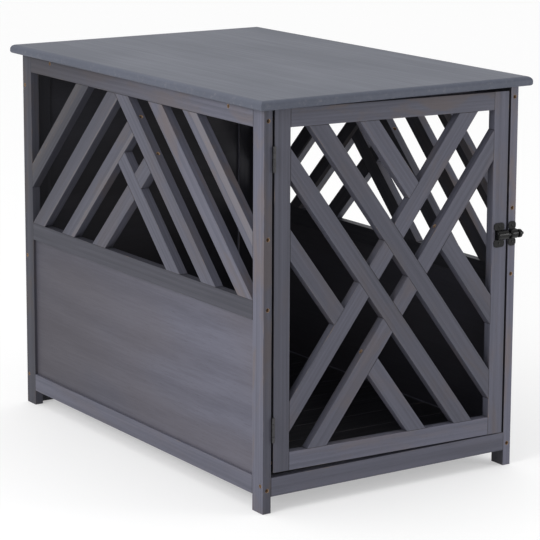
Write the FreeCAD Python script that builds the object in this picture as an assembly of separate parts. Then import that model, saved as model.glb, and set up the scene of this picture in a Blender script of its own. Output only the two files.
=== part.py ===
import FreeCAD, Part
import math
import os

from FreeCAD import Vector

os.makedirs("parts", exist_ok=True)

# Dog crate end table. Millimetres. X runs to the right, Y to the back, Z up.
# The origin is on the floor under the middle of the table; the door faces -Y.

# ---------------------------------------------------------------- driving dimensions
top_length = 800.0          # table top, front to back
top_width = 520.0           # table top, side to side
top_thick = 15.0
top_overhang = 16.0         # past the frames, all round
top_round = 8.0             # radius of the upper edge; the corners stay square
top_under_round = 4.0       # radius of the lower edge
table_height = 645.0

lath_width = 30.0           # frame stiles, rails and side slats
lath_thick = 15.0
edge_ease = 0.7             # small radius along the edges of every lath
foot_height = 26.0          # floor to the bottom rails
mid_rail_top = 332.0
slat_pitch = 75.0           # from slat to slat, square to their length

panel_thick = 5.0
groove_depth = 6.0          # how far a panel goes into the laths round it

batten_place = 284.5        # battens on edge, to the front and back of the middle
floor_top = 56.0
plank_thick = 8.0
plank_count = 11
plank_gap = 1.5
cleat_width = 15.0
cleat_height = 20.0

door_lath = 29.0            # width of the door's laths
door_side_gap = 4.0
door_height = 565.0
door_end_gap = 1.25         # least gap above and below the door
door_slope = 53.0           # degrees from level, both families of door slats

hinge_height = 40.0
hinge_inset = 72.0          # from the door's end to the middle of a hinge
hinge_pin_radius = 1.2
knuckle_radius = 2.4
knuckle_proud = 2.6         # pin centre in front of the frame's front face
knuckle_count = 4
knuckle_play = 0.8          # end play between knuckles
notch_room = 0.6            # behind a knuckle, in the other leaf
pin_play = 0.05             # radial clearance of the turning knuckles
leaf_thick = 1.0
leaf_width = 12.0

latch_height = 389.0
plate_thick = 1.2
plate_height = 40.0
lobe_height = 13.0
catch_width = 21.0
arch_radius = 8.0
arch_leg = 2.0
arch_wall = 1.2
bolt_radius = 3.0
bolt_play = 0.05
bolt_proud = 5.2            # bolt centre in front of the frame's front face
bolt_reach = 14.5           # how far the shot bolt goes in behind the door's edge
catch_offset = 3.2          # from the stile's inner edge to the catch plate
catch_end = 3.5             # plate left of the catch's ridge
ridge_end = 1.0             # from the edge of the wood to a ridge's open end
catch_wall = 3.0            # closed end of the catch
ridge_rim_round = 2.4       # rounding of the left rim of both ridges
lobe_round = 5.2
waist_share = 0.12          # how far a plate's waist is set in, over its width
knob_radius = 7.0
knob_thick = 5.5
knob_round = 1.2
knob_gap = 0.8              # between the table's side and the knob
collar_long = 2.0
collar_share = 0.75         # collar over knob
finial_radius = 3.0
finial_neck = 2.1
finial_reach = 1.2          # finial's middle past the collar

hole_radius = 3.2           # round holes over the frame screws
screw_head = 3.0            # head radius
screw_head_deep = 2.4
screw_shank = 1.7
screw_point_share = 2.5     # length of the point over the shank's radius
screw_point_blunt = 0.3
post_screw_sink = 6.0       # head below the front of a post
face_screw_sink = 4.5       # head below the outer face of a side frame
post_screw_long = 46.0
face_screw_long = 36.0
slat_screw_long = 44.0
top_screw_long = 25.0
small_head = 2.2
small_shank = 1.0
small_screw_long = 11.0
dome_height = 0.8           # head of a latch screw above its plate
leaf_screw_step = 12.0      # screws of a hinge leaf, up and down from its middle
leaf_screw_depth = 7.2      # and how far behind the front face
post_screw_heights = (612.0, 431.0, 322.0, 37.0)
back_screw_heights = (575.0, 270.0, 52.5)
front_rail_screw_height = 43.5
top_screw_offset = 180.0
top_screw_sink = 15.0       # head up inside the batten

# ---------------------------------------------------------------- derived dimensions
frame_top = table_height - top_thick
frame_half_y = top_length / 2 - top_overhang
frame_half_x = top_width / 2 - top_overhang
inner_half_x = frame_half_x - lath_thick
inner_half_y = frame_half_y - lath_thick
front_face = -frame_half_y
opening_half_y = frame_half_y - lath_width
top_rail_low = frame_top - lath_width
mid_rail_low = mid_rail_top - lath_width
bottom_rail_top = foot_height + lath_width
half_lath = lath_width / 2
frame_mid_x = -(frame_half_x + inner_half_x) / 2
post_mid_y = -(frame_half_y + inner_half_y) / 2

door_half = inner_half_x - door_side_gap
door_width = 2 * door_half
door_sag = frame_top - bottom_rail_top - door_height - 2 * door_end_gap
door_mid_z = (bottom_rail_top + frame_top) / 2
door_low = door_mid_z - door_height / 2
door_high = door_mid_z + door_height / 2
door_inner_half = door_half - door_lath
door_back = front_face + lath_thick

hinge_x = -(inner_half_x + door_half) / 2
hinge_y = front_face - knuckle_proud
bolt_y = front_face - bolt_proud
bolt_tip = door_half - bolt_reach
catch_low = door_inner_half + catch_offset
catch_high = catch_low + catch_width

x_axis = Vector(1, 0, 0)
y_axis = Vector(0, 1, 0)
z_axis = Vector(0, 0, 1)
centre = Vector(0, 0, 0)
slack = 0.01                # for picking edges by their place
cut_past = 1.0              # how far a cutting shape reaches past the piece it cuts


# ---------------------------------------------------------------- shared shapes
def block(x_span, y_span, z_span):
    """A plain box between two values on each axis."""
    size = [max(span) - min(span) for span in (x_span, y_span, z_span)]
    corner = Vector(min(x_span), min(y_span), min(z_span))
    return Part.makeBox(size[0], size[1], size[2], corner)


def runs_along(edge, grain):
    """True for a straight edge that lies along the grain."""
    if len(edge.Vertexes) != 2:
        return False
    step = edge.Vertexes[1].Point - edge.Vertexes[0].Point
    return step.cross(grain).Length < slack * grain.Length


def eased(solid, grain):
    """Round the long edges of a lath a little."""
    edges = [edge for edge in solid.Edges if runs_along(edge, grain)]
    return solid.makeFillet(edge_ease, edges)


def lath(x_span, y_span, z_span, grain):
    """A straight square-ended lath."""
    return eased(block(x_span, y_span, z_span), grain)


def prism(points, thickness):
    """A flat piece with the given outline, as thick as the given vector."""
    wire = Part.makePolygon(points + [points[0]])
    return Part.Face(wire).extrude(thickness)


def kept_side(outline, normal, limit):
    """The part of a convex flat outline where normal . point is at most limit."""
    def height(point):
        return point[0] * normal[0] + point[1] * normal[1] - limit
    result = []
    for here, there in zip(outline, outline[1:] + outline[:1]):
        a = height(here)
        b = height(there)
        if a <= 0:
            result.append(here)
        if (a < 0 < b) or (b < 0 < a):
            share = a / (a - b)
            result.append(tuple(h + share * (t - h) for h, t in zip(here, there)))
    return result


def between(outline, origin, normal, low, high):
    """The band of an outline whose distance from origin along normal is low to high."""
    base = origin[0] * normal[0] + origin[1] * normal[1]
    back = (-normal[0], -normal[1])
    cut = kept_side(outline, normal, base + high)
    return kept_side(cut, back, -(base + low))


def screw(head_at, direction, length, head=screw_head, deep=screw_head_deep, shank=screw_shank):
    """A countersunk screw: its head's flat top is at head_at."""
    cone = Part.makeCone(head, shank, deep, head_at, direction)
    tip_long = screw_point_share * shank
    body_at = head_at + direction * deep
    body_long = length - deep - tip_long
    body = Part.makeCylinder(shank, body_long, body_at, direction)
    tip = Part.makeCone(shank, screw_point_blunt, tip_long,
                        body_at + direction * body_long, direction)
    return cone.fuse([body, tip]).removeSplitter()


def sunk_hole(surface_at, direction, sink):
    """The round hole over a sunk screw head."""
    start = surface_at - direction * hole_radius
    return Part.makeCylinder(hole_radius, sink + hole_radius, start, direction)


def mirrored(shape):
    """The same piece on the other side of the table."""
    return shape.mirror(centre, x_axis)


# ---------------------------------------------------------------- table top and what holds it
def table_top():
    """The top board, its edges rounded and its corners mitred square."""
    board = block((-top_width / 2, top_width / 2), (-top_length / 2, top_length / 2),
                  (frame_top, table_height))
    upper = [edge for edge in board.Edges if edge.CenterOfMass.z > table_height - slack]
    board = board.makeFillet(top_round, upper)
    lower = [edge for edge in board.Edges if edge.BoundBox.ZMax < frame_top + slack]
    return board.makeFillet(top_under_round, lower)


def batten(place):
    return lath((-inner_half_x, inner_half_x), (place - lath_thick / 2, place + lath_thick / 2),
                (top_rail_low, frame_top), x_axis)


def top_screws_and_holes():
    """Up through the battens into the top, each in a deep round hole."""
    screws = []
    holes = []
    for y in (-batten_place, batten_place):
        for x in (-top_screw_offset, 0, top_screw_offset):
            mouth = Vector(x, y, top_rail_low)
            screws.append(screw(mouth + z_axis * top_screw_sink, z_axis, top_screw_long))
            holes.append(sunk_hole(mouth, z_axis, top_screw_sink))
    return screws, holes


# ---------------------------------------------------------------- side frames
side_opening = [(-opening_half_y, mid_rail_top), (opening_half_y, mid_rail_top),
                (opening_half_y, top_rail_low), (-opening_half_y, top_rail_low)]
diagonal = math.sqrt(0.5)
to_front_slats = (-diagonal, diagonal)      # across the slats that rise to the back
to_rear_slats = (diagonal, diagonal)        # across the slats that rise to the front
# The third slat of each slope ends with its outer edge in the lower corner of the opening.
crossing_height = mid_rail_top + opening_half_y - (2 * slat_pitch + half_lath) / diagonal
crossing = (0.0, crossing_height)


def side_stile(y_span):
    return lath((-frame_half_x, -inner_half_x), y_span, (0, frame_top), z_axis)


def side_rail(z_low):
    return lath((-frame_half_x, -inner_half_x), (-opening_half_y, opening_half_y),
                (z_low, z_low + lath_width), y_axis)


def side_panel():
    face = -frame_half_x + (lath_thick - panel_thick) / 2
    return block((face, face + panel_thick),
                 (-opening_half_y - groove_depth, opening_half_y + groove_depth),
                 (bottom_rail_top - groove_depth, mid_rail_low + groove_depth))


def side_slat_piece(outline, across):
    """A slat piece of the side lattice, as thick as the frame."""
    points = [Vector(-frame_half_x, y, z) for y, z in outline]
    grain = Vector(0, -across[1], across[0])
    return eased(prism(points, x_axis * lath_thick), grain)


def side_band(across, line):
    """Outline of the slat on the given line of the lattice, stile to stile or rail to rail."""
    middle = line * slat_pitch
    return between(side_opening, crossing, across, middle - half_lath, middle + half_lath)


def front_slat(line):
    """Slats that rise to the back. The one through the crossing stops under the rear slat."""
    outline = side_band(to_front_slats, line)
    if line == 0:
        outline = between(outline, crossing, to_rear_slats, -top_length, slat_pitch - half_lath)
    return side_slat_piece(outline, to_front_slats)


def rear_slat(line):
    """Slats that rise to the front and stop at the front slats that pass them."""
    outline = side_band(to_rear_slats, line)
    stop = slat_pitch - half_lath
    if line == 0:
        low = between(outline, crossing, to_front_slats, -top_length, -half_lath)
        high = between(outline, crossing, to_front_slats, half_lath, stop)
        pieces = [side_slat_piece(part, to_rear_slats) for part in (low, high)]
        return Part.makeCompound(pieces)
    outline = between(outline, crossing, to_front_slats, -top_length, stop)
    return side_slat_piece(outline, to_rear_slats)


def slat_screw_starts():
    """Where the screws through the second front slat start, one for each slat it holds."""
    edge_line = slat_pitch + half_lath
    starts = []
    for line in (0, 1):
        along = line * slat_pitch
        y = crossing[0] + to_front_slats[0] * edge_line + to_rear_slats[0] * along
        z = crossing[1] + to_front_slats[1] * edge_line + to_rear_slats[1] * along
        starts.append(Vector(frame_mid_x, y, z))
    return starts


slat_screw_way = Vector(0, -to_front_slats[0], -to_front_slats[1])


def side_screws_and_holes():
    """Every screw of the left side frame with the round hole over its head."""
    screws = []
    holes = []

    def add(surface_at, way, sink, length):
        screws.append(screw(surface_at + way * sink, way, length))
        holes.append(sunk_hole(surface_at, way, sink))

    for height in post_screw_heights:
        add(Vector(frame_mid_x, -frame_half_y, height), y_axis, post_screw_sink, post_screw_long)
        add(Vector(frame_mid_x, frame_half_y, height), -y_axis, post_screw_sink, post_screw_long)
    for height in back_screw_heights:
        add(Vector(-frame_half_x, -post_mid_y, height), x_axis, face_screw_sink, face_screw_long)
    for place in (-batten_place, batten_place):
        add(Vector(-frame_half_x, place, frame_top - lath_thick / 2), x_axis,
            face_screw_sink, face_screw_long)
    add(Vector(-frame_half_x, post_mid_y, front_rail_screw_height), x_axis,
        face_screw_sink, face_screw_long)
    for start in slat_screw_starts():
        add(start, slat_screw_way, face_screw_sink, slat_screw_long)
    return screws, holes


def side_frame():
    """All pieces of the left side frame, by name."""
    pieces = {
        "front_stile": side_stile((-frame_half_y, -opening_half_y)),
        "rear_stile": side_stile((opening_half_y, frame_half_y)),
        "top_rail": side_rail(top_rail_low),
        "middle_rail": side_rail(mid_rail_low),
        "bottom_rail": side_rail(foot_height),
    }
    panel = side_panel()
    pieces = {name: piece.cut(panel) for name, piece in pieces.items()}
    pieces["panel"] = panel
    for line in range(4):
        pieces["front_slat_%d" % (line + 1)] = front_slat(line)
        pieces["rear_slat_%d" % (line + 1)] = rear_slat(line)
    return pieces


# ---------------------------------------------------------------- back, front rail and floor
def back_stile():
    return lath((-inner_half_x, -inner_half_x + lath_width), (inner_half_y, frame_half_y),
                (0, frame_top), z_axis)


def back_rail(z_low):
    half = inner_half_x - lath_width
    return lath((-half, half), (inner_half_y, frame_half_y), (z_low, z_low + lath_width), x_axis)


def back_panel():
    half = inner_half_x - lath_width + groove_depth
    face = inner_half_y + (lath_thick - panel_thick) / 2
    return block((-half, half), (face, face + panel_thick),
                 (bottom_rail_top - groove_depth, top_rail_low + groove_depth))


def back_frame():
    pieces = {
        "left_stile": back_stile(),
        "right_stile": mirrored(back_stile()),
        "top_rail": back_rail(top_rail_low),
        "bottom_rail": back_rail(foot_height),
    }
    panel = back_panel()
    pieces = {name: piece.cut(panel) for name, piece in pieces.items()}
    pieces["panel"] = panel
    return pieces


def back_rail_screws():
    """Through the back frame's stiles into its rails; hidden by the side frames."""
    screws = []
    for height in (top_rail_low + half_lath, foot_height + half_lath):
        left = screw(Vector(-inner_half_x, -post_mid_y, height), x_axis, post_screw_long)
        screws += [left, mirrored(left)]
    return screws


def front_rail():
    return lath((-inner_half_x, inner_half_x), (front_face, door_back),
                (foot_height, bottom_rail_top), x_axis)


def floor_planks():
    """Boards from side to side with narrow open joints, on the two cleats."""
    room = 2 * inner_half_y
    width = (room - (plank_count - 1) * plank_gap) / plank_count
    planks = []
    for number in range(plank_count):
        start = -inner_half_y + number * (width + plank_gap)
        planks.append(lath((-inner_half_x, inner_half_x), (start, start + width),
                           (floor_top - plank_thick, floor_top), x_axis))
    return Part.makeCompound(planks)


def floor_cleat():
    high = floor_top - plank_thick
    return lath((-inner_half_x, -inner_half_x + cleat_width), (-inner_half_y, inner_half_y),
                (high - cleat_height, high), y_axis)


# ---------------------------------------------------------------- door
door_opening = [(-door_inner_half, door_low + door_lath), (door_inner_half, door_low + door_lath),
                (door_inner_half, door_high - door_lath), (-door_inner_half, door_high - door_lath)]
door_centre = (0.0, door_mid_z)
slope = math.radians(door_slope)
across_falling = (math.sin(slope), math.cos(slope))     # slats that fall to the latch side
across_rising = (math.sin(slope), -math.cos(slope))     # slats that rise to the latch side
door_line = slat_pitch / 2                              # inner lines, from the door's middle
far_line = 1.5 * slat_pitch                             # outer lines
half_slat = door_lath / 2
beyond = top_length


def hung(x, z):
    """A point of the door's front face. The latch side of the door hangs a little low."""
    return Vector(x, front_face, z - door_sag * x / door_width)


def door_piece(outline, along):
    """A piece of the door frame or lattice, with its long edges along the given slope."""
    points = [hung(x, z) for x, z in outline]
    grain = hung(along[0], along[1]) - hung(0, 0)
    return eased(prism(points, y_axis * lath_thick), grain)


def door_stile(x_low):
    outline = [(x_low, door_low), (x_low + door_lath, door_low),
               (x_low + door_lath, door_high), (x_low, door_high)]
    return door_piece(outline, (0, 1))


def door_rail(z_low):
    outline = [(-door_inner_half, z_low), (door_inner_half, z_low),
               (door_inner_half, z_low + door_lath), (-door_inner_half, z_low + door_lath)]
    return door_piece(outline, (1, 0))


def door_band(across, line):
    return between(door_opening, door_centre, across, line - half_slat, line + half_slat)


def falling_slat(line):
    return door_piece(door_band(across_falling, line), (-across_falling[1], across_falling[0]))


def rising_slat(line, low, high):
    """A slat piece between two lines of the falling slats."""
    outline = between(door_band(across_rising, line), door_centre, across_falling, low, high)
    return door_piece(outline, (across_rising[1], -across_rising[0]))


def short_falling_slat(line, low, high):
    """A short falling piece that starts or ends at a rising slat."""
    outline = between(door_band(across_falling, line), door_centre, across_rising, low, high)
    return door_piece(outline, (-across_falling[1], across_falling[0]))


def door_lattice():
    """The twelve slat pieces, as six pairs that match when the door is turned half round."""
    edge = door_line + half_slat
    inner = door_line - half_slat
    return {
        "long_slats": [falling_slat(door_line), falling_slat(-door_line)],
        "end_slats": [rising_slat(-door_line, edge, beyond), rising_slat(door_line, -beyond, -edge)],
        "side_slats": [rising_slat(door_line, edge, beyond), rising_slat(-door_line, -beyond, -edge)],
        "middle_slats": [rising_slat(-door_line, -inner, inner), rising_slat(door_line, -inner, inner)],
        "top_and_bottom_slats": [short_falling_slat(far_line, -beyond, -edge),
                                 short_falling_slat(-far_line, edge, beyond)],
        "corner_slats": [short_falling_slat(far_line, edge, beyond),
                         short_falling_slat(-far_line, -beyond, -edge)],
    }


def slat_screw_point(rising, falling):
    """Where two lattice lines of the door meet, given their distances from its middle."""
    x = (rising + falling) / (2 * across_rising[0])
    z = (falling - rising) / (2 * across_falling[1])
    return hung(x, door_mid_z + z)


def door_screws_and_holes():
    """Frame screws in the stile edges, and those through the rising slats into short slats."""
    screws = []
    holes = []
    to_middle = y_axis * (lath_thick / 2)
    falling_way = (hung(across_falling[1], -across_falling[0]) - hung(0, 0)).normalize()

    def add(surface_at, way, sink, length):
        start = surface_at + to_middle
        screws.append(screw(start + way * sink, way, length))
        holes.append(sunk_hole(start, way, sink))

    for side in (-1, 1):
        for height in (door_low + half_slat, door_high - half_slat):
            add(hung(side * door_half, height), x_axis * -side, post_screw_sink, post_screw_long)
        for line in (-far_line, far_line):
            add(slat_screw_point(side * (door_line - half_slat), line), falling_way * side,
                face_screw_sink, slat_screw_long)
    return screws, holes


def door_frame():
    """All pieces of the door's frame and lattice, by name."""
    pieces = {
        "hinge_stile": door_stile(-door_half),
        "latch_stile": door_stile(door_inner_half),
        "top_rail": door_rail(door_high - door_lath),
        "bottom_rail": door_rail(door_low),
    }
    pieces.update({name: Part.makeCompound(pair) for name, pair in door_lattice().items()})
    return pieces


# ---------------------------------------------------------------- hinges
hinge_heights = (door_low + hinge_inset, door_high - hinge_inset)
knuckle_height = hinge_height / knuckle_count


def upright(radius, low, high):
    """A round bar or bore on the hinge axis."""
    return Part.makeCylinder(radius, high - low, Vector(hinge_x, hinge_y, low))


def hinge_leaf(height, plate_x, first_knuckle, bore_radius):
    """A flat plate with every second knuckle, and notches for the other leaf's knuckles."""
    low = height - hinge_height / 2
    plate = block((plate_x, plate_x + leaf_thick), (hinge_y, front_face + leaf_width),
                  (low, low + hinge_height))
    notch_end = hinge_y + knuckle_radius + notch_room
    knuckles = []
    notches = []
    for number in range(knuckle_count):
        start = low + number * knuckle_height
        end = start + knuckle_height
        if number % 2 == first_knuckle:
            knuckles.append(upright(knuckle_radius, start + knuckle_play / 2, end - knuckle_play / 2))
        else:
            notches.append(block((plate_x - cut_past, plate_x + leaf_thick + cut_past),
                                 (hinge_y - cut_past, notch_end),
                                 (start - knuckle_play / 2, end + knuckle_play / 2)))
    leaf = plate.cut(notches).fuse(knuckles)
    bore = upright(bore_radius, low - cut_past, low + hinge_height + cut_past)
    return leaf.cut(bore).removeSplitter()


def post_leaf(height):
    return hinge_leaf(height, -inner_half_x, 0, hinge_pin_radius)


def door_leaf(height):
    return hinge_leaf(height, -door_half - leaf_thick, 1, hinge_pin_radius + pin_play)


def hinge_pin(height):
    half = hinge_height / 2
    return upright(hinge_pin_radius, height - half, height + half)


def leaf_screws(height, face_x, way):
    """Two small countersunk screws in a leaf, flush with its inner side."""
    y = front_face + leaf_screw_depth
    return [screw(Vector(face_x, y, height + step), way, small_screw_long, small_head, leaf_thick,
                  small_shank)
            for step in (-leaf_screw_step, leaf_screw_step)]


# ---------------------------------------------------------------- latch
def bar_along_x(radius, x_low, x_high, y):
    return Part.makeCylinder(radius, x_high - x_low, Vector(x_low, y, latch_height), x_axis)


def lobed_plate(x_low, x_high):
    """A thin plate with a rounded lobe above and below a narrower waist."""
    y_span = (front_face - plate_thick, front_face)
    lobes = []
    for side in (-1, 1):
        outer = latch_height + side * plate_height / 2
        lobe = block((x_low, x_high), y_span, (outer, outer - side * lobe_height))
        lobe = lobe.makeFillet(lobe_round, [edge for edge in lobe.Edges if runs_along(edge, y_axis)])
        lobes.append(lobe)
    waist_half = plate_height / 2 - lobe_height / 2
    inset = (x_high - x_low) * waist_share
    waist = block((x_low + inset, x_high - inset), y_span,
                  (latch_height - waist_half, latch_height + waist_half))
    return waist.fuse(lobes).removeSplitter()


def arch(x_low, x_high, radius, base):
    """A half-round ridge that stands on the plate, its back cut off flat at base."""
    ridge_y = front_face - arch_leg
    ridge = bar_along_x(radius, x_low, x_high, ridge_y)
    legs = block((x_low, x_high), (ridge_y, front_face), (latch_height - radius, latch_height + radius))
    room = block((x_low, x_high), (ridge_y - radius, base),
                 (latch_height - radius, latch_height + radius))
    return ridge.fuse(legs).common(room).removeSplitter()


def latch_ridge(x_low, x_high):
    """An arch with its left rim rounded."""
    ridge = arch(x_low, x_high, arch_radius, front_face)
    rim = [edge for edge in ridge.Edges if edge.BoundBox.XMax < x_low + slack
           and edge.BoundBox.YLength > arch_leg + slack]
    return ridge.makeFillet(ridge_rim_round, rim)


def latch_catch():
    """On the door's latch stile: a lobed plate and a ridge, hollow for the end of the bolt."""
    ridge_low = catch_low + catch_end
    ridge = latch_ridge(ridge_low, door_half - ridge_end)
    hollow = arch(ridge_low + catch_wall, door_half, arch_radius - arch_wall,
                  front_face - plate_thick)
    return lobed_plate(catch_low, catch_high).fuse(ridge).cut(hollow).removeSplitter()


def latch_guide():
    """On the right-hand post: a lobed plate and a ridge bored for the bolt."""
    ridge = latch_ridge(inner_half_x + ridge_end, frame_half_x - ridge_end)
    bore = bar_along_x(bolt_radius + bolt_play, inner_half_x, frame_half_x, bolt_y)
    return lobed_plate(inner_half_x, frame_half_x).fuse(ridge).cut(bore).removeSplitter()


def latch_bolt():
    """Round bolt with a domed tip, a flat round knob and a small finial past the table's side."""
    knob_x = frame_half_x + knob_gap
    collar_x = knob_x + knob_thick
    finial_x = collar_x + collar_long
    shaft = bar_along_x(bolt_radius, bolt_tip + bolt_radius, collar_x, bolt_y)
    tip = Part.makeSphere(bolt_radius, Vector(bolt_tip + bolt_radius, bolt_y, latch_height))
    knob = bar_along_x(knob_radius, knob_x, collar_x, bolt_y)
    rims = [edge for edge in knob.Edges if edge.BoundBox.XLength < slack]
    knob = knob.makeFillet(knob_round, rims)
    collar = Part.makeCone(knob_radius * collar_share, finial_neck, collar_long,
                           Vector(collar_x, bolt_y, latch_height), x_axis)
    finial = Part.makeSphere(finial_radius, Vector(finial_x + finial_reach, bolt_y, latch_height))
    return shaft.fuse([tip, knob, collar, finial]).removeSplitter()


def dome_screw(head_at, direction):
    """A small countersunk screw with a low domed head."""
    dome_radius = (small_head ** 2 + dome_height ** 2) / (2 * dome_height)
    ball = Part.makeSphere(dome_radius, head_at + direction * (dome_radius - dome_height))
    room = Part.makeCylinder(small_head, dome_height, head_at - direction * dome_height, direction)
    flush = screw(head_at, direction, small_screw_long, small_head, plate_thick, small_shank)
    return flush.fuse(ball.common(room)).removeSplitter()


def plate_screws(x):
    step = plate_height / 2 - lobe_height / 2
    return [dome_screw(Vector(x, front_face - plate_thick, latch_height + side * step), y_axis)
            for side in (-1, 1)]


# ---------------------------------------------------------------- all pieces
def pierced(piece, cutters):
    """A piece with the holes and screws that reach it cut out."""
    near = [cutter for cutter in cutters if cutter.BoundBox.intersect(piece.BoundBox)]
    return piece.cut(near) if near else piece


def cabinet_pieces():
    pieces = {"table_top": table_top(), "front_batten": batten(-batten_place),
              "rear_batten": batten(batten_place)}
    for name, piece in side_frame().items():
        pieces["left_" + name] = piece
        pieces["right_" + name] = mirrored(piece)
    for name, piece in back_frame().items():
        pieces["back_" + name] = piece
    pieces["front_rail"] = front_rail()
    pieces["floor_planks"] = floor_planks()
    pieces["left_floor_cleat"] = floor_cleat()
    pieces["right_floor_cleat"] = mirrored(floor_cleat())
    return pieces


def build():
    """Every piece of the table by its name."""
    side_screws, side_holes = side_screws_and_holes()
    long_screws = side_screws + [mirrored(one) for one in side_screws]
    batten_screws, batten_holes = top_screws_and_holes()
    long_screws += back_rail_screws() + batten_screws
    round_holes = side_holes + [mirrored(one) for one in side_holes] + batten_holes
    guide_x = (inner_half_x + frame_half_x) / 2
    post_small = []
    door_small = []
    for height in hinge_heights:
        post_small += leaf_screws(height, -inner_half_x + leaf_thick, -x_axis)
        door_small += leaf_screws(height, -door_half - leaf_thick, x_axis)
    post_small += plate_screws(guide_x)
    door_small += plate_screws((catch_low + catch_high) / 2)

    cabinet = {name: pierced(piece, round_holes + long_screws + post_small)
               for name, piece in cabinet_pieces().items()}
    door_long, door_holes = door_screws_and_holes()
    door = {"door_" + name: pierced(piece, door_holes + door_long + door_small)
            for name, piece in door_frame().items()}

    pieces = {}
    pieces.update(cabinet)
    pieces.update(door)
    pieces["cabinet_screws"] = Part.makeCompound(long_screws)
    pieces["door_screws"] = Part.makeCompound(door_long)
    pieces["hinge_post_leaves"] = Part.makeCompound(
        [pierced(post_leaf(height), post_small) for height in hinge_heights])
    pieces["hinge_door_leaves"] = Part.makeCompound(
        [pierced(door_leaf(height), door_small) for height in hinge_heights])
    pieces["hinge_pins"] = Part.makeCompound([hinge_pin(height) for height in hinge_heights])
    pieces["latch_catch"] = pierced(latch_catch(), door_small)
    pieces["latch_guide"] = pierced(latch_guide(), post_small)
    pieces["latch_bolt"] = latch_bolt()
    pieces["cabinet_hardware_screws"] = Part.makeCompound(post_small)
    pieces["door_hardware_screws"] = Part.makeCompound(door_small)
    return pieces


for piece_name, piece_shape in build().items():
    piece_shape.exportStep("parts/%s.step" % piece_name)
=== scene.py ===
import math
import random

import bpy
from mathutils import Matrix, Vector


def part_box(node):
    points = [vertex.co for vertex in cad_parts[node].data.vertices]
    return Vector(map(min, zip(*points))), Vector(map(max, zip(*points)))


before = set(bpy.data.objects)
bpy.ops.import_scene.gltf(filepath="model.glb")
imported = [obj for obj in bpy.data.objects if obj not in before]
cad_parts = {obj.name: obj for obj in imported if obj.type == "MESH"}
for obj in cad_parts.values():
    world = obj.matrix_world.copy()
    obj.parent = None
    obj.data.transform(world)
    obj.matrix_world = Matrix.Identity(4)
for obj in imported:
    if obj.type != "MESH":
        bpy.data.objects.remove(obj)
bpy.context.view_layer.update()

# Dog crate end table. Metres. X runs to the right, Y to the back, Z up; the door faces -Y.

# ---------------------------------------------------------------- sizes of the pieces
top_half_x = 0.260
top_half_y = 0.400
frame_half_x = 0.244
frame_half_y = 0.384
frame_top = 0.630
lath_width = 0.030
lath_thick = 0.015
inner_half_x = frame_half_x - lath_thick
inner_half_y = frame_half_y - lath_thick
frame_mid_x = frame_half_x - lath_thick / 2
post_mid_y = frame_half_y - lath_thick / 2
bottom_rail_top = 0.056

door_lath = 0.029
door_half = 0.225
door_height = 0.565
door_sag = 0.0065
door_mid_z = (bottom_rail_top + frame_top) / 2
door_low = door_mid_z - door_height / 2
door_high = door_mid_z + door_height / 2
door_slope = math.radians(53.0)
slat_pitch = 0.075
door_mid_y = -frame_half_y + lath_thick / 2
diagonal = math.sqrt(0.5)
crossing_height = 0.45265
mid_rail_top = 0.332

floor_top = 0.056
plank_count = 11
plank_gap = 0.0015
plank_half_thick = 0.004
plank_pitch = (2 * inner_half_y + plank_gap) / plank_count

hole_radius = 0.0032
hole_deep = 0.0055
hole_reach = 0.001                  # a hole this far outside a piece's box still counts
post_hole_heights = (0.612, 0.431, 0.322, 0.037)
back_hole_heights = (0.575, 0.270, 0.0525)
front_rail_hole_height = 0.0435
batten_place = 0.2845

along_x = Vector((1, 0, 0))
along_y = Vector((0, 1, 0))
along_z = Vector((0, 0, 1))

endless = 1.0       # half length of a board whose ends need no worn edge, as they butt on others


# ---------------------------------------------------------------- building a finish step by step
def new_finish(name):
    """An empty finish, to which step adds its nodes."""
    finish = bpy.data.materials.new(name)
    finish.use_nodes = True
    finish.node_tree.nodes.clear()
    return finish


def step(finish, kind, feeds, **settings):
    """One node of a finish; each feed is a value or another node's output."""
    node = finish.node_tree.nodes.new("ShaderNode" + kind)
    for name, value in settings.items():
        setattr(node, name, value)
    for socket, value in feeds.items():
        if isinstance(value, bpy.types.NodeSocket):
            finish.node_tree.links.new(value, node.inputs[socket])
        else:
            node.inputs[socket].default_value = value
    return node


def sums(finish, operation, *values):
    return step(finish, "Math", dict(enumerate(values)), operation=operation).outputs[0]


def vector_sums(finish, operation, *values):
    node = step(finish, "VectorMath", dict(enumerate(values)), operation=operation)
    return node.outputs["Value" if operation in ("LENGTH", "DOT_PRODUCT") else "Vector"]


def mix_of(finish, *parts):
    """The sum of some values, each with its share."""
    total = None
    for value, share in parts:
        part = sums(finish, "MULTIPLY", value, share)
        total = part if total is None else sums(finish, "ADD", total, part)
    return total


def fade(finish, value, low, high, to_low=0.0, to_high=1.0):
    """A value from low to high, smoothly turned into one from to_low to to_high."""
    node = step(finish, "MapRange", {"Value": value, "From Min": low, "From Max": high,
                                     "To Min": to_low, "To Max": to_high},
                interpolation_type="SMOOTHSTEP")
    return node.outputs[0]


def speckle(finish, place, scale, detail=4.0, roughness=0.55, distortion=0.0):
    node = step(finish, "TexNoise", {"Vector": place, "Scale": scale, "Detail": detail,
                                     "Roughness": roughness, "Distortion": distortion})
    return node.outputs[0]


def drawn_out(finish, place, fineness, detail=4.0, roughness=0.55, distortion=0.0):
    """A speckle that is coarser one way than another, as wood and brush marks are."""
    place = vector_sums(finish, "MULTIPLY", place, fineness)
    return speckle(finish, place, 1.0, detail, roughness, distortion)


def blend(finish, share, under, over):
    node = step(finish, "Mix", {0: share, 6: under, 7: over}, data_type="RGBA")
    return node.outputs[2]


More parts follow.
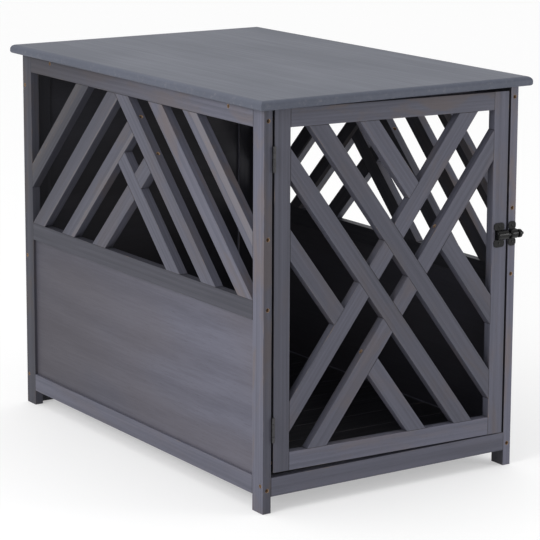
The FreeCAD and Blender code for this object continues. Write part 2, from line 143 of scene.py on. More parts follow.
def coat(finish, colour, roughness, height, lift, gloss=0.5, **more):
    """The shader at the end of a finish, with a bump of the given lift in metres."""
    bump = step(finish, "Bump", {"Height": height, "Distance": lift, "Strength": 1.0})
    feeds = {"Base Color": colour, "Roughness": roughness, "Normal": bump.outputs[0],
             "Specular IOR Level": gloss}
    feeds.update(more)
    shader = step(finish, "BsdfPrincipled", feeds)
    step(finish, "OutputMaterial", {"Surface": shader.outputs[0]})
    return finish


def shade(red, green, blue):
    """A colour given as it looks on a screen, from 0 to 255."""
    def linear(level):
        level = level / 255
        return level / 12.92 if level <= 0.04045 else ((level + 0.055) / 1.055) ** 2.4
    return (linear(red), linear(green), linear(blue), 1.0)


def lit_shade(levels, light):
    """A colour with each of its levels multiplied by the same light."""
    return shade(*(level * light for level in levels))


# ---------------------------------------------------------------- where a piece lies
class Lie:
    """How a board lies: along its grain, across its face and through its thickness."""

    def __init__(self, centre, grain, across, half_width, half_thick, half_length, fold=0.0,
                 pitch=0.0):
        self.centre = Vector(centre)
        self.grain = grain.normalized()
        self.across = across.normalized()
        self.through = self.grain.cross(self.across)
        self.half_width = half_width
        self.half_thick = half_thick
        self.half_length = half_length
        self.fold = fold                # two like boards, this far each side of the centre
        self.pitch = pitch              # like boards side by side, from one edge to the next
        self.joints = []                # planes, as a direction and a distance, where it ends


def own_axes(finish, place, lie):
    """A point of a board as its distances from the centre: along, across and through."""
    out = vector_sums(finish, "SUBTRACT", place, lie.centre)
    feeds = {number: vector_sums(finish, "DOT_PRODUCT", out, way)
             for number, way in enumerate((lie.grain, lie.across, lie.through))}
    return step(finish, "CombineXYZ", feeds).outputs[0]


def node_lie(name, grain, across):
    """How a straight board that follows the axes lies, from its box."""
    low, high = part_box(name)
    low = Vector(low)
    high = Vector(high)
    half = (high - low) / 2
    through = grain.cross(across)

    def reach(way):
        return abs(half.dot(way))
    return Lie((low + high) / 2, grain, across, reach(across), reach(through), reach(grain))


# ---------------------------------------------------------------- screw holes
def hung_point(x, z):
    """A point in the middle of the door's thickness. The latch side hangs a little low."""
    return Vector((x, door_mid_y, z - door_sag * x / (2 * door_half)))


def post_and_rail_holes(side):
    """The holes in the posts and in the outer face of one side frame."""
    holes = []
    outer_x = side * frame_half_x
    for height in post_hole_heights:
        for face in (-frame_half_y, frame_half_y):
            holes.append((Vector((side * frame_mid_x, face, height)), along_y))
    for height in back_hole_heights:
        holes.append((Vector((outer_x, post_mid_y, height)), along_x))
    for place in (-batten_place, batten_place):
        holes.append((Vector((outer_x, place, frame_top - lath_thick / 2)), along_x))
    holes.append((Vector((outer_x, -post_mid_y, front_rail_hole_height)), along_x))
    return holes


def side_slat_holes(side):
    """The holes in the edge of the second front slat of one side frame."""
    edge = slat_pitch + lath_width / 2
    crossing = Vector((side * frame_mid_x, 0, crossing_height))
    return [(crossing + Vector((0, along - edge, along + edge)) * diagonal,
             Vector((0, diagonal, -diagonal)))
            for along in (0.0, slat_pitch)]


def door_holes(side):
    """The holes in one half of the door: in its stile's edge and in the slats."""
    holes = [(hung_point(side * door_half, height), along_x)
             for height in (door_low + door_lath / 2, door_high - door_lath / 2)]
    falling_way = Vector((math.cos(door_slope), 0, -math.sin(door_slope)))
    rising = side * (slat_pitch - door_lath) / 2
    for line in (-1.5 * slat_pitch, 1.5 * slat_pitch):
        x = (rising + line) / (2 * math.sin(door_slope))
        z = (line - rising) / (2 * math.cos(door_slope))
        holes.append((hung_point(x, door_mid_z + z), falling_way))
    return holes


def holes_in(name):
    """The mouth and the axis of every round hole in a piece's box, a little enlarged."""
    low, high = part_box(name)
    every_hole = [hole for side in (-1, 1)
                  for kind in (post_and_rail_holes, side_slat_holes, door_holes)
                  for hole in kind(side)]
    return [(middle, axis) for middle, axis in every_hole
            if all(low[k] - hole_reach < middle[k] < high[k] + hole_reach for k in range(3))]


def hole_distance(finish, place, holes):
    """Distance from the nearest hole's axis; it grows again past the bottom of the hole."""
    nearest = None
    for mouth, axis in holes:
        out = vector_sums(finish, "SUBTRACT", place, mouth)
        off_axis = vector_sums(finish, "LENGTH", vector_sums(finish, "CROSS_PRODUCT", out, axis))
        past = sums(finish, "SUBTRACT", vector_sums(finish, "LENGTH", out), hole_deep)
        away = sums(finish, "MAXIMUM", off_axis, past)
        nearest = away if nearest is None else sums(finish, "MINIMUM", nearest, away)
    return nearest


# ---------------------------------------------------------------- stained wood
raw_wood = shade(122, 98, 72)
hole_wall = shade(165, 138, 110)
painted_shade_colour = shade(20, 19, 23)        # painted shade for faces in shade: inside the cabinet, in gaps and on the sides of the top
open_stain = shade(54, 51, 55)          # pores and end grain
far_end_shade = shade(52, 50, 56)           # painted shade at the darker, far end of a lath
# painted shade along the joints, in place of the shadowed gaps where pieces meet
joint_gap_shade = shade(24, 22, 24)
deep_levels = (71, 72, 82)              # where the stain lay thick
pale_levels = (90, 90, 103)
brown_levels = (89, 82, 84)             # where it was wiped off
worn_levels = (106, 102, 106)           # rubbed arrises

# how fine each pattern is along the lath, across it and through it
ring_fineness = Vector((0.10, 1, 1))
sway_fineness = Vector((2.2, 12, 12))
streak_fineness = Vector((3.0, 130, 130))
pore_fineness = Vector((60, 1500, 1500))
patch_fineness = Vector((9, 28, 28))
rag_fineness = Vector((22, 300, 300))

# from where to where each pattern goes from none to full
streak_band = (0.3, 0.7)
ring_band = (0.1, 0.95)
patch_band = (0.46, 0.72)
pore_band = (0.60, 0.72)
rag_band = (0.45, 0.8)
bare_band = (0.60, 0.70)
facing_band = (0.5, 0.9)
end_grain_band = (0.6, 0.9)
joint_band = (0.0003, 0.0011)
tone_band = (0.2, 0.9)

# how much each pattern counts
streak_share = 0.42
ring_share = 0.22
sway_share = 0.36
brown_gain = 2
most_brown = 0.85
pore_depth = 0.3
end_grain_depth = 0.55
joint_shade_depth = 0.85
# how dark the painted shade makes faces inside the cabinet and in the door's gaps
painted_shade_depth = 0.78
arris_wear = 0.6
bare_wear = 0.8 * arris_wear

pith_along = 2.0                        # the pith lies off to one side of the lath
pith_across = (0.006, 0.05)
pith_through = (0.012, 0.05)
ring_closeness = (38, 62)
plank_shift = 3.7                       # each plank's grain is another stretch of the tree
plank_turn = 0.011
arris_width = (0.0002, 0.0016)
arris_fade = (0.55, 1.1)
torn_width = 0.0010
rim_width = (0.0004, 0.0009)
stain_roughness = (0.62, 0.5)
stain_gloss = 0.25
streak_rise = 0.5
ring_rise = 0.25
grain_lift = 0.00012


def second_least(finish, a, b, c):
    """The middle one of three distances: on a board's face, that to the nearest edge."""
    least = sums(finish, "MINIMUM", a, b)
    most = sums(finish, "MAXIMUM", a, b)
    return sums(finish, "MAXIMUM", least, sums(finish, "MINIMUM", most, c))


def painted_shade_face(finish, normal, colour, way, share):
    """Painted shade: the faces that look one way are darkened as if they lay in shade."""
    facing = vector_sums(finish, "DOT_PRODUCT", normal, way)
    return blend(finish, fade(finish, facing, *facing_band, 0.0, share), colour, painted_shade_colour)


def joint_distance(finish, place, joints):
    """Distance from the nearest plane in which the piece meets another."""
    nearest = None
    for way, level in joints:
        along = vector_sums(finish, "DOT_PRODUCT", place, way)
        away = sums(finish, "ABSOLUTE", sums(finish, "SUBTRACT", along, level))
        nearest = away if nearest is None else sums(finish, "MINIMUM", nearest, away)
    return nearest


def own_plank(finish, lie, width, grown):
    """Of like boards side by side: the place across the one board, and a grain of its own."""
    run = sums(finish, "DIVIDE", sums(finish, "ADD", width, lie.half_width), lie.pitch)
    number = sums(finish, "FLOOR", run)
    width = sums(finish, "MULTIPLY", sums(finish, "FRACT", run), lie.pitch)
    width = sums(finish, "SUBTRACT", width, lie.half_width)
    own = step(finish, "CombineXYZ", {0: sums(finish, "MULTIPLY", number, plank_shift),
                                      2: sums(finish, "MULTIPLY", number, plank_turn)})
    return width, vector_sums(finish, "ADD", grown, own.outputs[0])


def growth_rings(finish, grown, closeness):
    slow = vector_sums(finish, "MULTIPLY", grown, ring_fineness)
    return step(finish, "TexWave", {"Vector": slow, "Scale": closeness, "Distortion": 2.2,
                                    "Detail": 2.0, "Detail Scale": 0.6,
                                    "Detail Roughness": 0.55},
                wave_type="RINGS", rings_direction="X", wave_profile="SAW").outputs[1]


def stain_colour(finish, grown, tone, pore_share, light, warmth):
    """Blue-grey where the stain lay thick, warmer and browner where it was wiped off."""
    patches = drawn_out(finish, grown, patch_fineness, detail=3.0, roughness=0.6,
                        distortion=0.6)
    colour = blend(finish, tone, lit_shade(deep_levels, light), lit_shade(pale_levels, light))
    warm_share = sums(finish, "MULTIPLY", fade(finish, patches, *patch_band), warmth * brown_gain)
    colour = blend(finish, sums(finish, "MINIMUM", warm_share, most_brown), colour,
                   lit_shade(brown_levels, light))
    return blend(finish, pore_share, colour, open_stain)


def far_end(finish, lie, length, colour, drift, over):
    """Painted shade: darker towards the far end of the grain."""
    share = fade(finish, length, -lie.half_length, lie.half_length, 0.0, drift)
    return blend(finish, share, colour, over)


def arrises(finish, lie, sides, ragged, colour, light):
    """Edges that are rubbed pale and here and there down to the bare wood."""
    length, width, depth = sides
    if lie.fold:
        width = sums(finish, "SUBTRACT", sums(finish, "ABSOLUTE", width), lie.fold)
    to_edge = second_least(
        finish,
        sums(finish, "SUBTRACT", lie.half_width, sums(finish, "ABSOLUTE", width)),
        sums(finish, "SUBTRACT", lie.half_thick, sums(finish, "ABSOLUTE", depth)),
        sums(finish, "SUBTRACT", lie.half_length, sums(finish, "ABSOLUTE", length)))
    band = fade(finish, ragged, *rag_band, *arris_width)
    edge = fade(finish, sums(finish, "DIVIDE", to_edge, band), *arris_fade, 1.0, 0.0)
    colour = blend(finish, sums(finish, "MULTIPLY", edge, arris_wear), colour,
                   lit_shade(worn_levels, light))
    bare = sums(finish, "MULTIPLY", edge, fade(finish, ragged, *bare_band))
    return blend(finish, sums(finish, "MULTIPLY", bare, bare_wear), colour, raw_wood)


def hole_rims(finish, place, holes, ragged, colour):
    """Raw walls of the screw holes, with a torn rim."""
    away = hole_distance(finish, place, holes)
    torn = sums(finish, "ADD", away, sums(finish, "MULTIPLY", ragged, torn_width))
    start, end = rim_width
    rim = fade(finish, torn, hole_radius + start, hole_radius + end, 1.0, 0.0)
    return blend(finish, rim, colour, hole_wall)


def stained_lath(name, lie, draw, holes, light, warmth, painted_shade_faces, drift):
    """Grey-stained softwood: streaks, growth rings, fine pores, worn arrises and raw hole walls,
    with painted shade on shaded faces, far ends and joints.
    """
    finish = new_finish(name)
    coords = step(finish, "TexCoord", {})
    place = coords.outputs["Object"]
    normal = coords.outputs["Normal"]
    local = own_axes(finish, place, lie)
    length, width, depth = step(finish, "SeparateXYZ", {"Vector": local}).outputs

    pith = Vector((draw.uniform(-pith_along, pith_along),
                   draw.choice((-1, 1)) * draw.uniform(*pith_across),
                   draw.choice((-1, 1)) * draw.uniform(*pith_through)))
    grown = vector_sums(finish, "ADD", local, pith)
    if lie.pitch:
        width, grown = own_plank(finish, lie, width, grown)
    sway = drawn_out(finish, grown, sway_fineness, detail=2.0)
    rings = growth_rings(finish, grown, draw.uniform(*ring_closeness))
    streaks = drawn_out(finish, grown, streak_fineness, detail=5.0, roughness=0.62)
    pores = drawn_out(finish, grown, pore_fineness, detail=2.0, roughness=0.5)
    ragged = drawn_out(finish, grown, rag_fineness, roughness=0.7)
    tone = mix_of(finish, (fade(finish, streaks, *streak_band), streak_share),
                  (fade(finish, rings, *ring_band), ring_share), (sway, sway_share))
    pore_share = fade(finish, pores, *pore_band, 0.0, pore_depth)

    colour = stain_colour(finish, grown, tone, pore_share, light, warmth)
    if drift:
        colour = far_end(finish, lie, length, colour, drift, far_end_shade)
    facing = sums(finish, "ABSOLUTE", vector_sums(finish, "DOT_PRODUCT", normal, lie.grain))
    end_share = sums(finish, "MULTIPLY", fade(finish, facing, *end_grain_band), end_grain_depth)
    colour = blend(finish, end_share, colour, open_stain)
    for way, share in painted_shade_faces:
        colour = painted_shade_face(finish, normal, colour, way, share)
    colour = arrises(finish, lie, (length, width, depth), ragged, colour, light)
    # painted shade: a dark line where the piece meets another
    if lie.joints:
        gap = joint_distance(finish, place, lie.joints)
        colour = blend(finish, fade(finish, gap, *joint_band, joint_shade_depth, 0.0), colour,
                       joint_gap_shade)
    if holes:
        colour = hole_rims(finish, place, holes, ragged, colour)

    roughness = fade(finish, tone, *tone_band, *stain_roughness)
    height = sums(finish, "SUBTRACT", mix_of(finish, (streaks, streak_rise), (rings, ring_rise)),
                  pore_share)
    return coat(finish, colour, roughness, height, grain_lift, stain_gloss)


# ---------------------------------------------------------------- stained plywood
board_deep_levels = (72, 72, 83)
board_pale_levels = (90, 90, 103)
board_brown_levels = (85, 79, 82)
dash_stain = shade(60, 57, 60)
# painted shade at the far end of a board
board_far_end_shade = shade(56, 53, 57)
figure_fineness = Vector((1.6, 9, 9))
dash_fineness = Vector((55, 900, 900))
fibre_fineness = Vector((14, 260, 260))
cloud_fineness = Vector((2.2, 4.5, 4.5))
fibre_band = (0.3, 0.7)
cloud_band = (0.38, 0.62)
dash_band = (0.58, 0.70)
dash_depth = 0.35
band_share = 0.30
fibre_share = 0.30
figure_share = 0.42
board_shift = 3.0                       # each board is another stretch of the sheet
board_roughness = (0.62, 0.52)
fibre_rise = 0.6
board_lift = 0.0001


def plain_board(name, lie, draw, inside, light, warmth, drift):
    """Stained plywood: long faint figure, short dashes of open pores, blue and brown clouds, with
    painted shade inside the cabinet and towards the far end.
    """
    finish = new_finish(name)
    coords = step(finish, "TexCoord", {})
    local = own_axes(finish, coords.outputs["Object"], lie)
    shift = Vector((draw.uniform(-board_shift, board_shift),
                    draw.uniform(-board_shift, board_shift), 0))
    grown = vector_sums(finish, "ADD", local, shift)
    figure = drawn_out(finish, grown, figure_fineness, detail=3.0, roughness=0.5,
                       distortion=1.2)
    figure_place = vector_sums(finish, "MULTIPLY", grown, figure_fineness)
    bands = step(finish, "TexWave", {"Vector": figure_place, "Scale": 0.55, "Distortion": 7.0,
                                     "Detail": 3.0, "Detail Scale": 1.4,
                                     "Detail Roughness": 0.6},
                 wave_type="BANDS", bands_direction="Y", wave_profile="SIN").outputs[1]
    dashes = drawn_out(finish, grown, dash_fineness, detail=3.0, roughness=0.6)
    fibres = drawn_out(finish, grown, fibre_fineness, roughness=0.65)
    clouds = drawn_out(finish, grown, cloud_fineness, detail=2.0, roughness=0.5,
                       distortion=0.4)
    tone = mix_of(finish, (bands, band_share), (fade(finish, fibres, *fibre_band), fibre_share),
                  (figure, figure_share))
    dash_share = fade(finish, dashes, *dash_band, 0.0, dash_depth)

    colour = blend(finish, tone, lit_shade(board_deep_levels, light),
                   lit_shade(board_pale_levels, light))
    warm_share = fade(finish, clouds, *cloud_band, 0.0, warmth)
    colour = blend(finish, warm_share, colour, lit_shade(board_brown_levels, light))
    colour = blend(finish, dash_share, colour, dash_stain)
    if drift:
        length = step(finish, "SeparateXYZ", {"Vector": local}).outputs[0]
        colour = far_end(finish, lie, length, colour, drift, board_far_end_shade)
    colour = painted_shade_face(finish, coords.outputs["Normal"], colour, inside, painted_shade_depth)

    roughness = fade(finish, tone, *tone_band, *board_roughness)
    height = sums(finish, "SUBTRACT", sums(finish, "MULTIPLY", fibres, fibre_rise), dash_share)
    return coat(finish, colour, roughness, height, board_lift, stain_gloss)


# ---------------------------------------------------------------- paint, lacquer and steel
paint_deep = shade(82, 86, 98)
paint_pale = shade(87, 91, 104)
rubbed_paint = shade(112, 112, 118)
brush_fineness = Vector((420, 7, 420))
paint_cloud_fineness = Vector((7, 3, 7))
paint_grain_fineness = Vector((160, 3, 160))
paint_band = (0.35, 0.65)
paint_side_shade = 0.14                 # painted shade: the edges of the top are darker than its face
upward_band = (0.2, 0.9)
rub_width = (0.0005, 0.004)
rub_band = (0.52, 0.7)
rub_wear = 0.4
nibble_fineness = 90.0
paint_tone_band = (0.3, 0.7)
paint_roughness = (0.56, 0.48)
paint_lift = 0.00004
paint_gloss = 0.2

lacquer = shade(9, 9, 10)
rubbed_lacquer = shade(30, 29, 29)
peel_fineness = 900.0
scuff_fineness = 260.0
scuff_band = (0.62, 0.75)
lacquer_tone_band = (0.4, 0.7)
lacquer_roughness = (0.24, 0.4)
lacquer_lift = 0.00003
lacquer_gloss = 0.22

steel_spot = shade(66, 63, 62)
dull_shares = (0.82, 0.81, 0.83)        # of the steel's level, in red, green and blue
bright_shares = (1.0, 1.0, 1.02)
bloom_fineness = 240.0
spot_fineness = 1100.0
steel_line_fineness = Vector((2600, 2600, 120))
bloom_band = (0.35, 0.65)
spot_band = (0.66, 0.74)
spot_depth = 0.6
steel_tone_band = (0.3, 0.7)
steel_roughness_rise = 0.16
steel_lift = 0.00003


def top_paint(name):
    """Smooth satin paint on the table top: faint brush lines, clouds and rubbed edges, with painted
    shade on its sides.
    """
    finish = new_finish(name)
    coords = step(finish, "TexCoord", {})
    place = coords.outputs["Object"]
    clouds = drawn_out(finish, place, paint_cloud_fineness, detail=3.0)
    brush = drawn_out(finish, place, brush_fineness, roughness=0.6)
    grain = drawn_out(finish, place, paint_grain_fineness, roughness=0.6, distortion=0.3)
    tone = mix_of(finish, (clouds, 0.5), (grain, 0.5))
    colour = blend(finish, fade(finish, tone, *paint_band), paint_deep, paint_pale)
    # painted shade on the sides of the top
    upward = vector_sums(finish, "DOT_PRODUCT", coords.outputs["Normal"], along_z)
    colour = blend(finish, fade(finish, upward, *upward_band, paint_side_shade, 0.0), colour,
                   painted_shade_colour)

    split = step(finish, "SeparateXYZ", {"Vector": place})
    to_side = sums(finish, "SUBTRACT", top_half_x, sums(finish, "ABSOLUTE", split.outputs[0]))
    to_end = sums(finish, "SUBTRACT", top_half_y, sums(finish, "ABSOLUTE", split.outputs[1]))
    to_rim = sums(finish, "MINIMUM", to_side, to_end)
    nibble = speckle(finish, place, nibble_fineness, detail=5.0, roughness=0.7)
    rubbed = sums(finish, "MULTIPLY", fade(finish, to_rim, *rub_width, 1.0, 0.0),
                  fade(finish, nibble, *rub_band))
    colour = blend(finish, sums(finish, "MULTIPLY", rubbed, rub_wear), colour, rubbed_paint)
    roughness = fade(finish, tone, *paint_tone_band, *paint_roughness)
    return coat(finish, colour, roughness, brush, paint_lift, paint_gloss)


def cast_black(name):
    """Black half-gloss lacquer on cast iron: fine orange peel and rubbed high spots."""
    finish = new_finish(name)
    place = step(finish, "TexCoord", {}).outputs["Object"]
    peel = speckle(finish, place, peel_fineness, detail=3.0, roughness=0.5)
    scuff = speckle(finish, place, scuff_fineness, detail=5.0, roughness=0.7)
    colour = blend(finish, fade(finish, scuff, *scuff_band), lacquer, rubbed_lacquer)
    roughness = fade(finish, scuff, *lacquer_tone_band, *lacquer_roughness)
    return coat(finish, colour, roughness, peel, lacquer_lift, lacquer_gloss)


def plated_steel(name, level, smoothest):
    """Zinc-plated steel: drawn lines, dull blooms and small dark spots."""
    finish = new_finish(name)
    place = step(finish, "TexCoord", {}).outputs["Object"]
    bloom = speckle(finish, place, bloom_fineness, roughness=0.6)
    lines = drawn_out(finish, place, steel_line_fineness, detail=3.0, roughness=0.6)
    spots = speckle(finish, place, spot_fineness, detail=2.0, roughness=0.5)
    colour = blend(finish, fade(finish, bloom, *bloom_band), lit_shade(dull_shares, level),
                   lit_shade(bright_shares, level))
    colour = blend(finish, fade(finish, spots, *spot_band, 0.0, spot_depth), colour, steel_spot)
    roughness = fade(finish, bloom, *steel_tone_band, smoothest,
                     smoothest + steel_roughness_rise)
    return coat(finish, colour, roughness, lines, steel_lift, Metallic=1.0)


# ---------------------------------------------------------------- how each piece looks: its own tone, partly painted light and shade
# lightness, warmth and how much painted shade darkens the far end
side_rail_tones = {"top_rail": (1.08, 0.3, 0.85), "middle_rail": (0.75, 0.0, 0.0),
                   "bottom_rail": (1.06, 0.1, 0.0)}
side_panel_tone = (1.07, 0.35, 0.55)
back_panel_tone = (0.95, 0.5, 0.0)

# lightness and warmth; the front posts lighter and the rear posts darker as painted light and
# shade, the hinge stile darker than the latch stile and the floor darker as painted shade
plain_tone = (1.0, 0.3)
rear_post_shaded_tone = (0.74, 0.5)
front_post_lit_tones = {"left": (1.10, 0.5), "right": (1.14, 0.5)}
front_post_front_shade = {"left": 0.42, "right": 0.0}    # how much painted shade darkens the post's front face
back_stile_tone = (0.95, 0.1)
front_rail_tone = (0.97, 0.1)
floor_tone = (0.8, 0.3)
door_rail_tones = {"top_rail": (0.98, 0.6), "bottom_rail": (1.14, 0.3)}
door_stile_tones = {"hinge_stile": (0.90, 0.1), "latch_stile": (1.03, 0.3)}
door_slat_warmth = 0.25

# the slats of a side lattice, from the crossing outwards; the rear ones darker towards the rear as
# painted shade
front_slat_tones = ((0.99, 0.3), (0.95, 0.3), (1.07, 0.5), (1.04, 0.9))
rear_slat_shaded_tones = ((0.92, 0.2), (0.90, 0.4), (0.85, 0.2), (0.70, 0.2))

# how much laths of one kind differ
light_spread = (0.98, 1.02)
warmth_spread = (0.7, 1.3)

zinc_tone = (84, 0.42)                  # level and least roughness
dull_tone = (120, 0.4)


# ---------------------------------------------------------------- dressing the pieces
def give_finish(name, finish):
    """Put a finish on a piece of the frame."""
    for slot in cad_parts[name].material_slots:
        slot.material = finish


draw = random.Random(11)


def dress_lath(name, lie, tone=plain_tone, inside=None, drift=0.0, painted_shade_faces=()):
    """Stain a lath; the face that looks into the cabinet gets painted shade."""
    light, warmth = tone
    faces = list(painted_shade_faces)
    if inside:
        faces.append((inside, painted_shade_depth))
    light *= draw.uniform(*light_spread)
    warmth *= draw.uniform(*warmth_spread)
    give_finish(name, stained_lath(name + "_stain", lie, draw, holes_in(name), light, warmth,
                                   faces, drift))


def end_joints(lie):
    """The two planes across the grain where a rail ends against the stiles."""
    middle = lie.centre.dot(lie.grain)
    lie.joints = [(lie.grain, middle + lie.half_length), (lie.grain, middle - lie.half_length)]
    return lie


def side_slat_joints(family, number):
    """Where a slat of a side lattice meets the frame and the slats that pass it."""
    joints = [(along_z, frame_top - lath_width), (along_z, mid_rail_top),
              (along_y, frame_half_y - lath_width), (along_y, lath_width - frame_half_y)]
    stop = slat_pitch - lath_width / 2
    across_front = Vector((0, -diagonal, diagonal))
    across_rear = Vector((0, diagonal, diagonal))
    level = crossing_height * diagonal
    if family == "rear":
        joints.append((across_front, level + stop))
        if number == 1:
            joints.append((across_front, level - lath_width / 2))
            joints.append((across_front, level + lath_width / 2))
    elif number == 1:
        joints.append((across_rear, level + stop))
    return joints


def dress_side_slat(side, family, number, tone, inside):
    way = 1 if family == "front" else -1
    name = "%s_%s_slat_%d" % (side, family, number)
    centre = node_lie(name, along_y, along_z).centre
    if number == 1:
        centre = Vector((centre.x, 0, crossing_height))
    lie = Lie(centre, Vector((0, 1, way)), Vector((0, -way, 1)), lath_width / 2, lath_thick / 2,
              endless)
    lie.joints = side_slat_joints(family, number)
    dress_lath(name, lie, tone, inside)


def dress_side(side):
    inside = along_x if side == "left" else -along_x
    name = side + "_front_stile"
    # painted shade on the front face of the post
    dress_lath(name, node_lie(name, along_z, along_y), front_post_lit_tones[side], inside,
               painted_shade_faces=[(-along_y, front_post_front_shade[side])])
    name = side + "_rear_stile"
    dress_lath(name, node_lie(name, along_z, along_y), rear_post_shaded_tone, inside)
    for piece, (light, warmth, drift) in side_rail_tones.items():
        name = side + "_" + piece
        lie = end_joints(node_lie(name, along_y, along_z))
        dress_lath(name, lie, (light, warmth), inside, drift)
    for family, tones in (("front", front_slat_tones), ("rear", rear_slat_shaded_tones)):
        for number, tone in enumerate(tones, 1):
            dress_side_slat(side, family, number, tone, inside)
    name = side + "_panel"
    give_finish(name, plain_board(name + "_stain", node_lie(name, along_y, along_z), draw, inside,
                                  *side_panel_tone))
    name = side + "_floor_cleat"
    dress_lath(name, node_lie(name, along_y, along_z))


def hung_direction(x, z):
    return Vector((x, 0, z - door_sag * x / (2 * door_half)))


def hung_line(x, z, level):
    """The plane x * X + z * Z = level of the square door, on the door as it hangs."""
    way = Vector((x + z * door_sag / (2 * door_half), 0, z))
    return way.normalized(), (level + z * door_mid_z) / way.length


def door_slat_lie(way, line):
    """How a pair of door slats lies; way is 1 for rising slats and -1 for falling ones."""
    grain = hung_direction(math.cos(door_slope), way * math.sin(door_slope))
    across, level = hung_line(math.sin(door_slope), -way * math.cos(door_slope), line)
    centre = Vector((0.0, door_mid_y, door_mid_z))
    fold = level - across.dot(centre)
    shrink = line / fold
    return Lie(centre, grain, across, door_lath / 2 / shrink, lath_thick / 2, endless, fold)


def door_slat_joints(way, ends):
    """Where a pair of door slats meets the door's frame and the slats that pass it."""
    half_x = door_half - door_lath
    half_z = door_height / 2 - door_lath
    joints = [hung_line(1, 0, half_x), hung_line(1, 0, -half_x),
              hung_line(0, 1, half_z), hung_line(0, 1, -half_z)]
    for end in ends:
        joints.append(hung_line(math.sin(door_slope), way * math.cos(door_slope), end))
    return joints


def dress_door_frame():
    for piece, edge in (("hinge_stile", -along_x), ("latch_stile", along_x)):
        name = "door_" + piece
        # painted shade on the cabinet side of the door and on the stile's outer edge, in the gap by
        # the post
        dress_lath(name, node_lie(name, along_z, along_x), door_stile_tones[piece], along_y,
                   painted_shade_faces=[(edge, painted_shade_depth)])
    tilted_x = hung_direction(1, 0)
    rail_end = door_half - door_lath
    for piece in ("top_rail", "bottom_rail"):
        name = "door_" + piece
        centre = node_lie(name, along_x, along_z).centre
        lie = Lie(centre, tilted_x, tilted_x.cross(along_y), door_lath / 2, lath_thick / 2,
                  endless)
        lie.joints = [hung_line(1, 0, rail_end), hung_line(1, 0, -rail_end)]
        dress_lath(name, lie, door_rail_tones[piece], along_y)


def dress_door_slats():
    near = slat_pitch / 2
    far = slat_pitch * 1.5
    outer = near + door_lath / 2
    inner = near - door_lath / 2
    for piece, way, line, ends, light in (
            ("long_slats", -1, near, (), 0.92),
            ("end_slats", 1, near, (outer, -outer), 1.0),
            ("side_slats", 1, near, (outer, -outer), 0.97),
            ("middle_slats", 1, near, (inner, -inner), 0.98),
            ("top_and_bottom_slats", -1, far, (outer, -outer), 1.0),
            ("corner_slats", -1, far, (outer, -outer), 0.92)):
        lie = door_slat_lie(way, line)
        lie.joints = door_slat_joints(way, ends)
        dress_lath("door_" + piece, lie, (light, door_slat_warmth), along_y)


def dress_back():
    for piece in ("left_stile", "right_stile"):
        name = "back_" + piece
        dress_lath(name, node_lie(name, along_z, along_x), back_stile_tone, -along_y)
    for piece in ("top_rail", "bottom_rail"):
        name = "back_" + piece
        dress_lath(name, end_joints(node_lie(name, along_x, along_z)), inside=-along_y)
    name = "back_panel"
    give_finish(name, plain_board(name + "_stain", node_lie(name, along_x, along_z), draw,
                                  -along_y, *back_panel_tone))


def dress_floor():
    half_width = (plank_pitch - plank_gap) / 2
    first_plank = (0, -inner_half_y + half_width, floor_top - plank_half_thick)
    lie = Lie(first_plank, along_x, along_y, half_width, plank_half_thick, inner_half_x,
              pitch=plank_pitch)
    dress_lath("floor_planks", lie, floor_tone, along_z)


def dress_metal():
    black = cast_black("black_latch_lacquer")
    zinc = plated_steel("hinge_zinc", *zinc_tone)
    dull = plated_steel("screw_steel", *dull_tone)
    for finish, pieces in (
            (black, ("latch_catch", "latch_guide", "latch_bolt", "cabinet_hardware_screws",
                     "door_hardware_screws")),
            (zinc, ("hinge_post_leaves", "hinge_door_leaves", "hinge_pins")),
            (dull, ("cabinet_screws", "door_screws"))):
        for piece in pieces:
            give_finish(piece, finish)


for side in ("left", "right"):
    dress_side(side)
dress_door_frame()
dress_door_slats()
dress_back()
dress_lath("front_rail", end_joints(node_lie("front_rail", along_x, along_z)), front_rail_tone)
for piece in ("front_batten", "rear_batten"):
    dress_lath(piece, node_lie(piece, along_x, along_y))
dress_floor()
give_finish("table_top", top_paint("table_top_paint"))
dress_metal()


# ---------------------------------------------------------------- studio
paper_size = 60.0
paper_drop = 0.0005                     # just under the feet
paper_grey = (0.62, 0.62, 0.62, 1)
paper_roughness = 0.9
paper_gloss = 0.1
paper_tooth_fineness = 40.0
paper_lift = 0.0001
paper_glow = 0.4
white = (1, 1, 1, 1)

sky_strength = 1.08
sky_front_share = 0.48                  # how much of the light comes from the front
sky_front_band = (-0.8, 0.2)

# place, the point it shines at, width in metres and power in watts
lamps = {"left": ((-2.4, -0.7, 1.5), (0, 0, 0.3), 1.0, 26),
         "front_right": ((1.5, -1.7, 0.7), (0.3, -0.38, 0.3), 0.6, 9)}

camera_place = (-2.18020, -3.31006, 1.16814)
camera_degrees = (79.1105, -0.2520, -33.5927)
camera_lens = 158.925
sensor_width = 36.0
camera_shift = -0.1296
camera_sight = 200.0


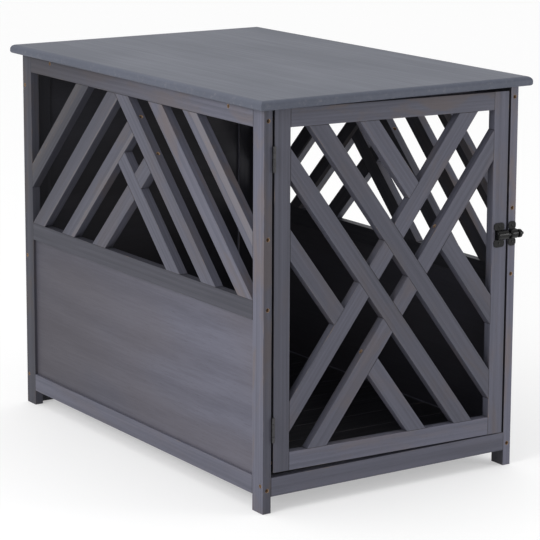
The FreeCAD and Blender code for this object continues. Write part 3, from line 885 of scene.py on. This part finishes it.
def studio_floor():
    bpy.ops.mesh.primitive_plane_add(size=paper_size, location=(0, 0, -paper_drop))
    floor = bpy.context.object
    floor.name = "studio_floor"
    finish = new_finish("studio_paper")
    place = step(finish, "TexCoord", {}).outputs["Object"]
    tooth = speckle(finish, place, paper_tooth_fineness, detail=3.0)
    coat(finish, paper_grey, paper_roughness, tooth, paper_lift, paper_gloss,
         **{"Emission Color": white, "Emission Strength": paper_glow})
    floor.data.materials.append(finish)


def soft_light(name, place, target, width, power):
    lamp = bpy.data.lights.new(name, "AREA")
    lamp.shape = "RECTANGLE"
    lamp.size = width
    lamp.size_y = width
    lamp.energy = power
    holder = bpy.data.objects.new(name, lamp)
    holder.location = place
    holder.rotation_euler = (Vector(target) - Vector(place)).to_track_quat("-Z", "Y").to_euler()
    bpy.context.scene.collection.objects.link(holder)


def studio_sky():
    """Even white light from all round, less of it from the front."""
    sky = bpy.data.worlds.new("studio_sky")
    sky.use_nodes = True
    tree = sky.node_tree
    coords = tree.nodes.new("ShaderNodeTexCoord")
    split = tree.nodes.new("ShaderNodeSeparateXYZ")
    dim = tree.nodes.new("ShaderNodeMapRange")
    dim.inputs["From Min"].default_value = sky_front_band[0]
    dim.inputs["From Max"].default_value = sky_front_band[1]
    dim.inputs["To Min"].default_value = sky_strength * sky_front_share
    dim.inputs["To Max"].default_value = sky_strength
    backdrop = tree.nodes["Background"]
    backdrop.inputs["Color"].default_value = white
    tree.links.new(coords.outputs["Generated"], split.inputs[0])
    tree.links.new(split.outputs[1], dim.inputs["Value"])
    tree.links.new(dim.outputs[0], backdrop.inputs["Strength"])
    bpy.context.scene.world = sky


def photo_camera():
    lens = bpy.data.cameras.new("photo_camera")
    lens.sensor_width = sensor_width
    lens.lens = camera_lens
    lens.shift_y = camera_shift
    lens.clip_end = camera_sight
    camera = bpy.data.objects.new("photo_camera", lens)
    camera.location = camera_place
    camera.rotation_euler = [math.radians(angle) for angle in camera_degrees]
    bpy.context.scene.collection.objects.link(camera)
    bpy.context.scene.camera = camera


studio_floor()
studio_sky()
for name, settings in lamps.items():
    soft_light(name, *settings)
photo_camera()
bpy.context.scene.view_settings.view_transform = "Standard"
